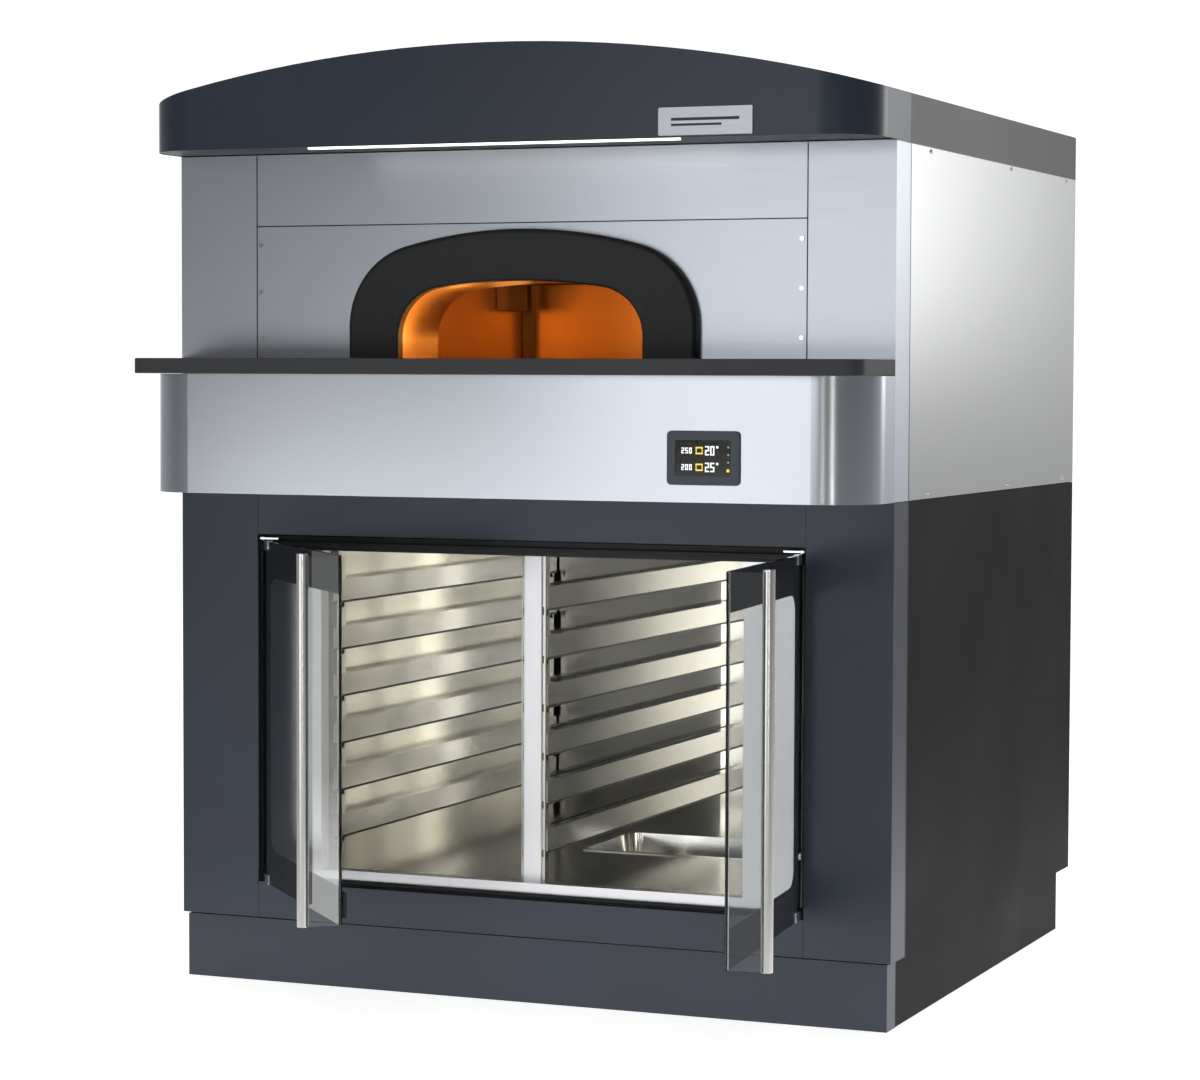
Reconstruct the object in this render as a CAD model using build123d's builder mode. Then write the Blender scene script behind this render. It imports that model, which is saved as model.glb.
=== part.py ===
from build123d import *

import os
from math import cos, radians, sin, sqrt

# Pizza oven standing on a two-door proofing cabinet, one appliance.
# X runs to the right, Y to the rear, Z up. The origin is on the floor, under the
# middle of the casing's footprint. All sizes are in millimetres.

# ---------------------------------------------------------------- driving dimensions
BODY_WIDTH = 1400
BODY_DEPTH = 1230
SHEET = 2                   # casing sheet
LINER = 1.5                 # inner liner sheet
SEAM = 1                    # gap between neighbouring covers

HALF = BODY_WIDTH / 2
FRONT = -BODY_DEPTH / 2     # plane of the front covers
REAR = BODY_DEPTH / 2

# Heights
KICK_TOP = 118
BODY_BOTTOM = 121
STEEL_BOTTOM = 922          # dark prover casing below, steel oven casing above
SLAB_BOTTOM = 1140
DECK_TOP = 1168             # top of the counter slab and of the baking stone
FASCIA_SEAM = 1412
CANOPY_BOTTOM = 1545
CANOPY_SIDE_TOP = 1630
CANOPY_CROWN = 1720

# Front covers
COLUMN_WIDTH = 160
COLUMN_RETURN = 83          # how far a column wraps round the side
OPENING_HALF = HALF - COLUMN_WIDTH - SEAM

# Door opening of the prover
RAIL_TOP_EDGE = 841         # underside of the top rail
RAIL_BOTTOM_EDGE = 188      # top of the bottom rail
LAND_DEPTH = 22             # from the front plane back to the frame's land
MULLION_DEPTH = 49          # from the front plane back to the mullion's face
LAND_HALF = 519             # inner edge of the dark frame
TRIM_HALF = 414             # inner edge of the bright side trims
CAVITY_HALF = 438
CAVITY_FRONT = 52
CAVITY_DEPTH = 1120
CAVITY_FLOOR = 214
CAVITY_CEILING = 814
SILL_TOP = 216
HEADER_BOTTOM = 812

# Doors: bent glass leaves that pivot on pins at their outer ends
DOOR_BOTTOM = 189.5
DOOR_TOP = 828.5
DOOR_WIDTH = 529            # from the pin's axis to the free end
GLASS = 6
HINGE_X = 531
HINGE_DEPTH = 7             # pin's axis behind the front plane
LEFT_DOOR_OPEN = 47.1       # stored pose, degrees from closed
RIGHT_DOOR_OPEN = 96
FIN_REACH = 60              # outward return of the glass that carries the handle
HANDLE_RADIUS = 10
HANDLE_U = 517              # handle's axis along the leaf
HANDLE_OUT = 65.5           # and out from the pin's axis
PIN_RADIUS = 3
PIN_CLEARANCE = 0.05
WINDOW_U = 57
WINDOW_BOTTOM = 255
WINDOW_TOP = 762
WINDOW_RADIUS = 30
BORDER = 0.8                # thickness of the black border layer

# Tray racks
LEVELS = 6
RUNNER_TOP = 310            # top of the lowest runner
RUNNER_PITCH = 88.8
RUNNER_HEIGHT = 40
RUNNER_FACE_CENTRE = 25
RUNNER_FACE_SIDE = 410
FLANGE = 20

# Water pan, let into the floor
PAN_LENGTH = 360
PAN_WIDTH = 275
PAN_DEPTH = 60
PAN_X = 95
PAN_Y = FRONT + 588
PAN_RIM = 12
PAN_WALL = 1

# Oven mouth and chamber
MOUTH_HALF = 239
MOUTH_CROWN = 1308
SURROUND_HALF = 340
SURROUND_CROWN = 1401
SURROUND_PROUD = 22
TUNNEL_DEPTH = 150
CHAMBER_HALF = 500
CHAMBER_REAR = 1150
CHAMBER_TOP = 1352
CHAMBER_SHEET = 3
DECK_THICK = 25

# Rounded front pieces
BAND_PROUD = 155
BAND_RADIUS = 100
SLAB_PROUD = 195
SLAB_RADIUS = 30

DISPLAY_X = 408
DISPLAY_Z = 998.5
PLATE_X = 408
PLATE_Z = 1572.5

os.makedirs("parts", exist_ok=True)


# ---------------------------------------------------------------- shared helpers
def save(piece, name):
    """Labels a finished piece and writes its file."""
    piece.part.label = name
    export_step(piece.part, f"parts/{name}.step")


def back(depth):
    """Y of a plane that lies a depth behind the front covers."""
    return FRONT + depth


def block(x, y, z, mode=Mode.ADD):
    """A box between low and high limits, in the part being built."""
    with Locations(((x[0] + x[1]) / 2, (y[0] + y[1]) / 2, (z[0] + z[1]) / 2)):
        Box(x[1] - x[0], y[1] - y[0], z[1] - z[0], mode=mode)


def span(side, inner, outer):
    """X limits of something between two distances from the middle, on one side."""
    return (-outer, -inner) if side < 0 else (inner, outer)


def arch_face(half, base, crown, crown_radius, corner_radius):
    """A three-centred arch standing on a base line, as a face in X and Z."""
    crown_centre = crown - crown_radius
    corner_x = half - corner_radius
    reach = crown_radius - corner_radius
    corner_z = crown_centre + sqrt(reach**2 - corner_x**2)
    join_x = crown_radius * corner_x / reach
    join_z = crown_centre + crown_radius * (corner_z - crown_centre) / reach
    with BuildSketch(Plane.XZ) as face:
        with BuildLine():
            Line((-half, base), (half, base))
            Line((half, base), (half, corner_z))
            TangentArc((half, corner_z), (join_x, join_z), tangent=(0, 1))
            ThreePointArc((join_x, join_z), (0, crown), (-join_x, join_z))
            TangentArc((-half, corner_z), (-join_x, join_z), tangent=(0, 1))
            Line((-half, corner_z), (-half, base))
        make_face()
    return face.sketch


def arch_block(face, y):
    """An arch face extruded between two Y limits, as a loose solid."""
    return extrude(Pos(0, y[1], 0) * face, amount=y[1] - y[0], dir=(0, -1, 0))


def front_plan(proud, radius, rear, inset=0):
    """Plan of a piece that stands proud of the front with two rounded corners."""
    half = HALF - inset
    nose = FRONT - proud + inset
    bend = radius - inset
    with BuildSketch() as plan:
        with BuildLine():
            Line((-half, rear), (half, rear))
            Line((half, rear), (half, nose + bend))
            RadiusArc((half, nose + bend), (half - bend, nose), bend)
            Line((half - bend, nose), (-half + bend, nose))
            RadiusArc((-half + bend, nose), (-half, nose + bend), bend)
            Line((-half, nose + bend), (-half, rear))
        make_face()
    return plan.sketch


VAULT_RISE = CANOPY_CROWN - CANOPY_SIDE_TOP
VAULT_RADIUS = (HALF**2 + VAULT_RISE**2) / (2 * VAULT_RISE)


def vault_face(drop, half, bottom):
    """Section across the canopy: the roof's shallow arc over a flat bottom."""
    radius = VAULT_RADIUS - drop
    crown = CANOPY_CROWN - drop
    side_top = crown - radius + sqrt(radius**2 - half**2)
    with BuildSketch(Plane.XZ) as face:
        with BuildLine():
            Line((-half, bottom), (half, bottom))
            Line((half, bottom), (half, side_top))
            ThreePointArc((half, side_top), (0, crown), (-half, side_top))
            Line((-half, side_top), (-half, bottom))
        make_face()
    return face.sketch


# ---------------------------------------------------------------- plinth
KICK_HALF = 692
KICK_FRONT = 5.6
KICK_RETURN = 54
KICK_REAR = 1166
FOOT_X = 620
FOOT_Y = (-545, 490)
BEAM_WIDTH = 50
BEAM_BOTTOM = 60
BEAM_WALL = 3               # the beams are channels, open below

with BuildPart() as kick_front:
    block((-KICK_HALF, KICK_HALF), (back(KICK_FRONT), back(KICK_FRONT + SHEET)), (0, KICK_TOP))
    for side in (-1, 1):
        block(
            span(side, KICK_HALF - SHEET, KICK_HALF),
            (back(KICK_FRONT), back(KICK_RETURN)),
            (0, KICK_TOP),
        )
save(kick_front, "kick_front")

with BuildPart() as kick_panels:
    for side in (-1, 1):
        block(
            span(side, KICK_HALF - 2 * SHEET, KICK_HALF - SHEET / 2),
            (back(KICK_RETURN + SEAM), back(KICK_REAR)),
            (0, KICK_TOP),
        )
    rear_half = KICK_HALF - 2 * SHEET - SEAM
    block((-rear_half, rear_half), (back(KICK_REAR - SHEET), back(KICK_REAR)), (0, KICK_TOP))
save(kick_panels, "kick_panels")

with BuildPart() as levelling_feet:
    corners = [(x, y) for x in (-FOOT_X, FOOT_X) for y in FOOT_Y]
    with Locations(*[(x, y, 0) for x, y in corners + [(0, 0)]]):
        Cone(32, 26, 14, align=(Align.CENTER, Align.CENTER, Align.MIN))
        Cylinder(8, BODY_BOTTOM - BEAM_WALL, align=(Align.CENTER, Align.CENTER, Align.MIN))
save(levelling_feet, "levelling_feet")

with BuildPart() as base_frame:
    beam_half = BEAM_WIDTH / 2
    cross_half = FOOT_X - beam_half
    for half, z, mode in (
        (beam_half, (BEAM_BOTTOM, BODY_BOTTOM), Mode.ADD),
        (beam_half - BEAM_WALL, (BEAM_BOTTOM - 1, BODY_BOTTOM - BEAM_WALL), Mode.SUBTRACT),
    ):
        for x in (-FOOT_X, FOOT_X):
            block((x - half, x + half), (FOOT_Y[0] - half, FOOT_Y[1] + half), z, mode)
        for y in (*FOOT_Y, 0):
            block((-cross_half, cross_half), (y - half, y + half), z, mode)
save(base_frame, "base_frame")


# ---------------------------------------------------------------- casing covers
def column(side, z):
    """A front corner cover: a front face, a return round the side and an inner lip."""
    with BuildPart() as cover:
        inner = HALF - COLUMN_WIDTH
        block(span(side, inner, HALF), (back(0), back(SHEET)), z)
        block(span(side, HALF - SHEET, HALF), (back(0), back(COLUMN_RETURN - SEAM / 2)), z)
        block(span(side, inner, inner + SHEET), (back(0), back(LAND_DEPTH - SHEET)), z)
    return cover


def side_panel(side, z):
    """A flat side cover between the corner column and the rear."""
    with BuildPart() as cover:
        y = (back(COLUMN_RETURN + SEAM / 2), REAR)
        block(span(side, HALF - SHEET, HALF), y, z)
        block(span(side, HALF - 14, HALF - SHEET), (y[0], y[0] + SHEET), z)
    return cover


LOWER_Z = (BODY_BOTTOM, STEEL_BOTTOM - SEAM / 2)
UPPER_Z = (STEEL_BOTTOM + SEAM / 2, CANOPY_BOTTOM - SEAM)
for side, hand in ((-1, "left"), (1, "right")):
    save(column(side, LOWER_Z), f"lower_column_{hand}")
    save(column(side, UPPER_Z), f"upper_column_{hand}")
    save(side_panel(side, LOWER_Z), f"prover_side_{hand}")
    save(side_panel(side, UPPER_Z), f"oven_side_{hand}")

RAIL_HALF = HALF - COLUMN_WIDTH - SEAM
with BuildPart() as prover_top_rail:
    block((-RAIL_HALF, RAIL_HALF), (back(0), back(SHEET)), (RAIL_TOP_EDGE, LOWER_Z[1]))
    block(
        (-RAIL_HALF, RAIL_HALF),
        (back(SHEET), back(LAND_DEPTH - SHEET)),
        (RAIL_TOP_EDGE, RAIL_TOP_EDGE + SHEET),
    )
save(prover_top_rail, "prover_top_rail")

with BuildPart() as prover_bottom_rail:
    block((-RAIL_HALF, RAIL_HALF), (back(0), back(SHEET)), (BODY_BOTTOM, RAIL_BOTTOM_EDGE))
    block(
        (-RAIL_HALF, RAIL_HALF),
        (back(SHEET), back(LAND_DEPTH - SHEET)),
        (RAIL_BOTTOM_EDGE - SHEET, RAIL_BOTTOM_EDGE),
    )
    with Locations(*[(s * HINGE_X, back(HINGE_DEPTH), RAIL_BOTTOM_EDGE) for s in (-1, 1)]):
        Cylinder(PIN_RADIUS + 1, 4 * SHEET, mode=Mode.SUBTRACT)
save(prover_bottom_rail, "prover_bottom_rail")

PANEL_HALF = HALF - SHEET - SEAM / 2
LOUVRE = (90, 6)
with BuildPart() as prover_rear_panel:
    block((-PANEL_HALF, PANEL_HALF), (REAR - SHEET, REAR), LOWER_Z)
    with Locations((0, REAR, 260)):
        with GridLocations(160, 1, 5, 1):
            for row in range(6):
                with Locations((0, 0, 24 * row)):
                    Box(LOUVRE[0], 4 * SHEET, LOUVRE[1], mode=Mode.SUBTRACT)
save(prover_rear_panel, "prover_rear_panel")

with BuildPart() as oven_rear_panel:
    add(arch_block(vault_face(SHEET + SEAM / 2, PANEL_HALF, UPPER_Z[0]), (REAR - SHEET, REAR)))
save(oven_rear_panel, "oven_rear_panel")

with BuildPart() as upper_fascia:
    block((-RAIL_HALF, RAIL_HALF), (back(0), back(SHEET)), (FASCIA_SEAM + SEAM, UPPER_Z[1]))
save(upper_fascia, "upper_fascia")

surround_outer = arch_face(SURROUND_HALF, DECK_TOP + SEAM, SURROUND_CROWN, 900, 150)
panel_cut = arch_face(SURROUND_HALF - 40, DECK_TOP - 10, SURROUND_CROWN - 40, 860, 110)
mouth = arch_face(MOUTH_HALF, DECK_TOP, MOUTH_CROWN, 1100, 90)
tunnel_outer = arch_face(MOUTH_HALF + 3, DECK_TOP, MOUTH_CROWN + 3, 1103, 93)

with BuildPart() as arch_panel:
    block((-RAIL_HALF, RAIL_HALF), (back(0), back(SHEET)), (DECK_TOP + SEAM, FASCIA_SEAM))
    add(arch_block(panel_cut, (back(-5), back(8))), mode=Mode.SUBTRACT)
save(arch_panel, "arch_panel")

with BuildPart() as arch_surround:
    add(arch_block(surround_outer, (back(-SURROUND_PROUD), back(0))))
    front_edges = arch_surround.edges().filter_by_position(
        Axis.Y, back(-SURROUND_PROUD) - 0.1, back(-SURROUND_PROUD) + 0.1
    )
    fillet(front_edges.filter_by(lambda e: e.center().Z > DECK_TOP + 5), 9)
    add(arch_block(mouth, (back(-40), back(5))), mode=Mode.SUBTRACT)
    inner_edges = arch_surround.edges().filter_by_position(
        Axis.Y, back(-SURROUND_PROUD) - 0.1, back(-SURROUND_PROUD) + 0.1
    ).filter_by(lambda e: abs(e.center().X) < MOUTH_HALF + 1 and e.center().Z < MOUTH_CROWN + 1)
    inner_edges = inner_edges.filter_by(lambda e: e.center().Z > DECK_TOP + 5)
    fillet(inner_edges, 5)
save(arch_surround, "arch_surround")


# ---------------------------------------------------------------- oven chamber
with BuildPart() as mouth_tunnel:
    add(arch_block(tunnel_outer, (back(0), back(TUNNEL_DEPTH))))
    add(arch_block(mouth, (back(-5), back(TUNNEL_DEPTH + 5))), mode=Mode.SUBTRACT)
save(mouth_tunnel, "mouth_tunnel")

CHAMBER_Z = (DECK_TOP - DECK_THICK, CHAMBER_TOP)
with BuildPart() as chamber_walls:
    front_y = (back(TUNNEL_DEPTH - CHAMBER_SHEET), back(TUNNEL_DEPTH))
    for side in (-1, 1):
        block(
            span(side, CHAMBER_HALF, CHAMBER_HALF + CHAMBER_SHEET),
            (front_y[0], back(CHAMBER_REAR)),
            CHAMBER_Z,
        )
        block(span(side, MOUTH_HALF + 4, CHAMBER_HALF), front_y, CHAMBER_Z)
    block((-MOUTH_HALF - 4, MOUTH_HALF + 4), front_y, (MOUTH_CROWN + 4, CHAMBER_TOP))
    block(
        (-CHAMBER_HALF - CHAMBER_SHEET, CHAMBER_HALF + CHAMBER_SHEET),
        (back(CHAMBER_REAR), back(CHAMBER_REAR + CHAMBER_SHEET)),
        CHAMBER_Z,
    )
save(chamber_walls, "chamber_walls")

with BuildPart() as chamber_ceiling:
    block(
        (-CHAMBER_HALF - CHAMBER_SHEET, CHAMBER_HALF + CHAMBER_SHEET),
        (back(TUNNEL_DEPTH - CHAMBER_SHEET), back(CHAMBER_REAR + CHAMBER_SHEET)),
        (CHAMBER_TOP, CHAMBER_TOP + CHAMBER_SHEET),
    )
save(chamber_ceiling, "chamber_ceiling")

with BuildPart() as stone_deck:
    stone_z = (DECK_TOP - DECK_THICK, DECK_TOP - 0.5)
    stone_half = CHAMBER_HALF - 0.5
    block((-stone_half, stone_half), (back(TUNNEL_DEPTH + 0.5), back(CHAMBER_REAR - 1)), stone_z)
    block((-MOUTH_HALF, MOUTH_HALF), (back(0.5), back(TUNNEL_DEPTH + 0.5)), stone_z)
save(stone_deck, "stone_deck")

ELEMENT_RADIUS = 5
ELEMENT_GAP = 14
with BuildPart() as heating_elements:
    element_half = CHAMBER_HALF - 20
    for row in range(6):
        y = back(260 + 160 * row)
        with BuildLine() as element_route:
            FilletPolyline(
                (-element_half, y, CHAMBER_TOP - ELEMENT_GAP),
                (element_half, y, CHAMBER_TOP - ELEMENT_GAP),
                (element_half, y + 50, CHAMBER_TOP - ELEMENT_GAP),
                (-element_half, y + 50, CHAMBER_TOP - ELEMENT_GAP),
                radius=22,
            )
        with BuildSketch(Plane(element_route.line @ 0, z_dir=element_route.line % 0)):
            Circle(ELEMENT_RADIUS)
        sweep(path=element_route.line)
save(heating_elements, "heating_elements")

# ---------------------------------------------------------------- slab, band and display
with BuildPart() as counter_slab:
    add(extrude(Pos(0, 0, SLAB_BOTTOM) * front_plan(SLAB_PROUD, SLAB_RADIUS, FRONT),
                amount=DECK_TOP - SLAB_BOTTOM))
    nose_edges = counter_slab.edges().filter_by(
        lambda e: e.center().Y < FRONT - 1 and e.length > 2 * (DECK_TOP - SLAB_BOTTOM)
    )
    chamfer(nose_edges.filter_by(lambda e: abs(e.tangent_at(0.5).Z) < 0.1), 1.5)
save(counter_slab, "counter_slab")

with BuildPart() as control_band:
    band_height = SLAB_BOTTOM - SEAM / 2 - STEEL_BOTTOM
    add(extrude(Pos(0, 0, STEEL_BOTTOM) * front_plan(BAND_PROUD, BAND_RADIUS, FRONT),
                amount=band_height))
    add(extrude(Pos(0, 0, STEEL_BOTTOM + SHEET)
                * front_plan(BAND_PROUD, BAND_RADIUS, FRONT + 5, inset=SHEET),
                amount=band_height), mode=Mode.SUBTRACT)
save(control_band, "control_band")

BEZEL = (133, 93)
SCREEN = (102, 62)
BEZEL_PROUD = 5
bezel_plane = Plane(
    origin=(DISPLAY_X, FRONT - BAND_PROUD, DISPLAY_Z), x_dir=(1, 0, 0), z_dir=(0, -1, 0)
)
with BuildPart() as display_bezel:
    with BuildSketch(bezel_plane):
        RectangleRounded(BEZEL[0], BEZEL[1], 8)
    extrude(amount=BEZEL_PROUD)
    chamfer(display_bezel.faces().sort_by(Axis.Y)[0].edges(), 1.2)
    with BuildSketch(bezel_plane.offset(1)):
        RectangleRounded(SCREEN[0], SCREEN[1], 1.5)
    extrude(amount=BEZEL_PROUD, mode=Mode.SUBTRACT)
save(display_bezel, "display_bezel")

with BuildPart() as display_screen:
    with BuildSketch(bezel_plane.offset(1)):
        RectangleRounded(SCREEN[0] - 0.4, SCREEN[1] - 0.4, 1.4)
    extrude(amount=BEZEL_PROUD - 2)
save(display_screen, "display_screen")

# ---------------------------------------------------------------- canopy
VAULT_WIDE = HALF + 30
VAULT = arch_block(vault_face(0, VAULT_WIDE, 1500), (FRONT - BAND_PROUD - 10, REAR + 10))
VAULT_INSIDE = arch_block(vault_face(SHEET, VAULT_WIDE, 1400), (FRONT - BAND_PROUD - 20, REAR + 20))

with BuildPart() as canopy_fascia:
    fascia_rear = back(COLUMN_RETURN - SEAM / 2)
    fascia_height = CANOPY_CROWN - CANOPY_BOTTOM + 20
    add(extrude(Pos(0, 0, CANOPY_BOTTOM) * front_plan(BAND_PROUD, BAND_RADIUS, fascia_rear),
                amount=fascia_height))
    add(extrude(Pos(0, 0, CANOPY_BOTTOM - 5)
                * front_plan(BAND_PROUD, BAND_RADIUS, fascia_rear + 5, inset=SHEET),
                amount=fascia_height + 10), mode=Mode.SUBTRACT)
    add(VAULT, mode=Mode.INTERSECT)
save(canopy_fascia, "canopy_fascia")

with BuildPart() as canopy_sides:
    for side in (-1, 1):
        block(
            span(side, HALF - SHEET, HALF),
            (back(COLUMN_RETURN + SEAM / 2), REAR),
            (CANOPY_BOTTOM, CANOPY_SIDE_TOP - 0.5),
        )
save(canopy_sides, "canopy_sides")

with BuildPart() as canopy_roof:
    roof_plan = front_plan(BAND_PROUD, BAND_RADIUS, REAR, inset=SHEET)
    add(extrude(Pos(0, 0, CANOPY_BOTTOM) * roof_plan, amount=CANOPY_CROWN - CANOPY_BOTTOM + 20))
    add(VAULT, mode=Mode.INTERSECT)
    add(VAULT_INSIDE, mode=Mode.SUBTRACT)
save(canopy_roof, "canopy_roof")

with BuildPart() as canopy_soffit:
    add(extrude(Pos(0, 0, CANOPY_BOTTOM + SEAM)
                * front_plan(BAND_PROUD, BAND_RADIUS, FRONT - SEAM, inset=SHEET),
                amount=SHEET))
save(canopy_soffit, "canopy_soffit")

LED_HALF = 356
LED_FRONT = -148
with BuildPart() as led_strip:
    block((-LED_HALF, LED_HALF), (back(LED_FRONT), back(LED_FRONT + 12)),
          (CANOPY_BOTTOM - 3, CANOPY_BOTTOM + SEAM))
save(led_strip, "led_strip")

PLATE = (172, 48)
with BuildPart() as nameplate:
    plate_plane = Plane(
        origin=(PLATE_X, FRONT - BAND_PROUD, PLATE_Z), x_dir=(1, 0, 0), z_dir=(0, -1, 0)
    )
    with BuildSketch(plate_plane):
        RectangleRounded(PLATE[0], PLATE[1], 3)
    extrude(amount=2.5)
    chamfer(nameplate.faces().sort_by(Axis.Y)[0].edges(), 0.6)
save(nameplate, "nameplate")


# ---------------------------------------------------------------- prover cavity
with BuildPart() as cavity_floor:
    floor_z = (CAVITY_FLOOR - LINER, CAVITY_FLOOR)
    block((-CAVITY_HALF, CAVITY_HALF), (back(CAVITY_FRONT), back(CAVITY_DEPTH)), floor_z)
    with BuildSketch(Plane.XY.offset(CAVITY_FLOOR)):
        with Locations((PAN_X, PAN_Y)):
            RectangleRounded(PAN_LENGTH - 2 * PAN_RIM, PAN_WIDTH - 2 * PAN_RIM, 28)
    extrude(amount=-2 * LINER, mode=Mode.SUBTRACT)
save(cavity_floor, "cavity_floor")

with BuildPart() as cavity_ceiling:
    block((-CAVITY_HALF, CAVITY_HALF), (back(CAVITY_FRONT), back(CAVITY_DEPTH)),
          (CAVITY_CEILING, CAVITY_CEILING + LINER))
save(cavity_ceiling, "cavity_ceiling")

WALL_Z = (CAVITY_FLOOR - LINER, CAVITY_CEILING + LINER)
with BuildPart() as cavity_walls:
    for side in (-1, 1):
        block(span(side, CAVITY_HALF, CAVITY_HALF + LINER),
              (back(CAVITY_FRONT), back(CAVITY_DEPTH)), WALL_Z)
save(cavity_walls, "cavity_walls")

with BuildPart() as cavity_wall_back:
    block((-CAVITY_HALF - LINER, CAVITY_HALF + LINER),
          (back(CAVITY_DEPTH), back(CAVITY_DEPTH + LINER)), WALL_Z)
save(cavity_wall_back, "cavity_wall_back")

# ---------------------------------------------------------------- door frame and trim
FRAME_HALF = RAIL_HALF - SEAM
FRAME_Z = (RAIL_BOTTOM_EDGE + 0.5, RAIL_TOP_EDGE - 3)
THRESHOLD_BOTTOM = 196.5
with BuildPart() as door_frame:
    land_y = (back(LAND_DEPTH), back(LAND_DEPTH + SHEET))
    block((-FRAME_HALF, FRAME_HALF), land_y, FRAME_Z)
    block((-LAND_HALF, LAND_HALF), (land_y[0] - 1, land_y[1] + 1),
          (THRESHOLD_BOTTOM, HEADER_BOTTOM), mode=Mode.SUBTRACT)
    block((-TRIM_HALF, TRIM_HALF), (land_y[1], back(CAVITY_FRONT)),
          (HEADER_BOTTOM, HEADER_BOTTOM + LINER))
save(door_frame, "door_frame")

GASKET_HALF = 528
GASKET_Z = (189.5, 828.5)
GASKET_WIDTH = 8.5
GASKET_FRONT = 13
with BuildPart() as door_gasket:
    block((-GASKET_HALF, GASKET_HALF), (back(GASKET_FRONT), back(LAND_DEPTH)), GASKET_Z)
    block((-GASKET_HALF + GASKET_WIDTH, GASKET_HALF - GASKET_WIDTH),
          (back(0), back(LAND_DEPTH + 5)),
          (GASKET_Z[0] + GASKET_WIDTH, GASKET_Z[1] - GASKET_WIDTH), mode=Mode.SUBTRACT)
    fillet(door_gasket.faces().sort_by(Axis.Y)[0].edges(), 2)
save(door_gasket, "door_gasket")

with BuildPart() as side_trims:
    for side in (-1, 1):
        block(span(side, TRIM_HALF, LAND_HALF), land_y, (SILL_TOP, HEADER_BOTTOM))
        block(span(side, TRIM_HALF, TRIM_HALF + LINER), (land_y[1], back(CAVITY_FRONT)),
              (SILL_TOP, HEADER_BOTTOM))
        block(span(side, TRIM_HALF + LINER, CAVITY_HALF),
              (back(CAVITY_FRONT - LINER), back(CAVITY_FRONT)), (SILL_TOP, HEADER_BOTTOM))
save(side_trims, "side_trims")

with BuildPart() as threshold:
    block((-LAND_HALF, LAND_HALF), land_y, (THRESHOLD_BOTTOM, SILL_TOP))
    block((-TRIM_HALF, TRIM_HALF), (land_y[1], back(CAVITY_FRONT)), (SILL_TOP - SHEET, SILL_TOP))
save(threshold, "threshold")

MULLION_HALF = 17.75
with BuildPart() as mullion:
    block((-MULLION_HALF, MULLION_HALF), (back(MULLION_DEPTH), back(CAVITY_FRONT)),
          (SILL_TOP, HEADER_BOTTOM))
    chamfer(mullion.edges().filter_by(Axis.Z).sort_by(Axis.Y)[:2], 1)
save(mullion, "mullion")

# ---------------------------------------------------------------- tray racks
POST_FRONT = (CAVITY_FRONT + 1, 73)
POST_REAR = (1098, 1118)
SIDE_POST_FRONT = (80, 110)
SIDE_POST_REAR = (1070, 1100)
POST_HALF = RUNNER_FACE_CENTRE - LINER
LEVEL_TOPS = [RUNNER_TOP + RUNNER_PITCH * level for level in range(LEVELS)]


def post(x, y):
    """A folded upright from the floor to the ceiling, with a hooking slot per level."""
    block(x, (back(y[0]), back(y[1])), (CAVITY_FLOOR, CAVITY_CEILING))
    slot = (back(y[0] + 6), back(y[1] - 6))
    for top in LEVEL_TOPS:
        block((x[0] - 1, x[1] + 1), slot, (top - 52, top - 44), mode=Mode.SUBTRACT)


def runner(side, face, flange_y, web_y, top, depth):
    """A folded tray runner: an upright web with a top ledge and a short bottom lip."""
    web = (face - LINER, face) if side > 0 else (face, face + LINER)
    ledge = (face - depth, face - LINER) if side > 0 else (face + LINER, face + depth)
    lip = (face - 9, face - LINER) if side > 0 else (face + LINER, face + 9)
    block(web, (back(web_y[0]), back(web_y[1])), (top - RUNNER_HEIGHT, top))
    block(ledge, (back(flange_y[0]), back(flange_y[1])), (top - LINER, top))
    block(lip, (back(flange_y[0]), back(flange_y[1])),
          (top - RUNNER_HEIGHT, top - RUNNER_HEIGHT + LINER))


with BuildPart() as rack_uprights:
    for y in (POST_FRONT, POST_REAR):
        post((-POST_HALF, POST_HALF), y)
    for side in (-1, 1):
        for y in (SIDE_POST_FRONT, SIDE_POST_REAR):
            post(span(side, RUNNER_FACE_SIDE + LINER, CAVITY_HALF - 0.5), y)
save(rack_uprights, "rack_uprights")

with BuildPart() as side_runners:
    for side in (-1, 1):
        for top in LEVEL_TOPS:
            runner(-side, side * RUNNER_FACE_SIDE, (SIDE_POST_FRONT[1] + 1, SIDE_POST_REAR[0] - 1),
                   (62, 1112), top, CAVITY_HALF - RUNNER_FACE_SIDE - 1)
save(side_runners, "side_runners")

SLOTS = 12
with BuildPart() as centre_runners:
    for side in (-1, 1):
        for top in LEVEL_TOPS:
            runner(side, side * RUNNER_FACE_CENTRE, (POST_FRONT[1] + 1, POST_REAR[0] - 1),
                   (62, 1112), top, FLANGE)
    slot_pitch = 83
    with Locations(*[(side * 14, back(586), top) for side in (-1, 1) for top in LEVEL_TOPS]):
        with GridLocations(1, slot_pitch, 1, SLOTS):
            Box(8, 26, 3 * LINER, mode=Mode.SUBTRACT)
save(centre_runners, "centre_runners")

# ---------------------------------------------------------------- water pan and its heater
def pan_tub(inset):
    """The tapered tub of the pan, as a loose solid, inset all round from its outside."""
    length = PAN_LENGTH - 2 * PAN_RIM - 2 - 2 * inset
    width = PAN_WIDTH - 2 * PAN_RIM - 2 - 2 * inset
    with BuildPart(mode=Mode.PRIVATE) as tub:
        with BuildSketch(Plane.XY.offset(CAVITY_FLOOR + 1.5)):
            with Locations((PAN_X, PAN_Y)):
                RectangleRounded(length, width, 27 - inset)
        extrude(amount=-PAN_DEPTH + inset, taper=6)
        fillet(tub.faces().sort_by(Axis.Z)[0].edges(), 10 - inset)
    return tub.part


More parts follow.
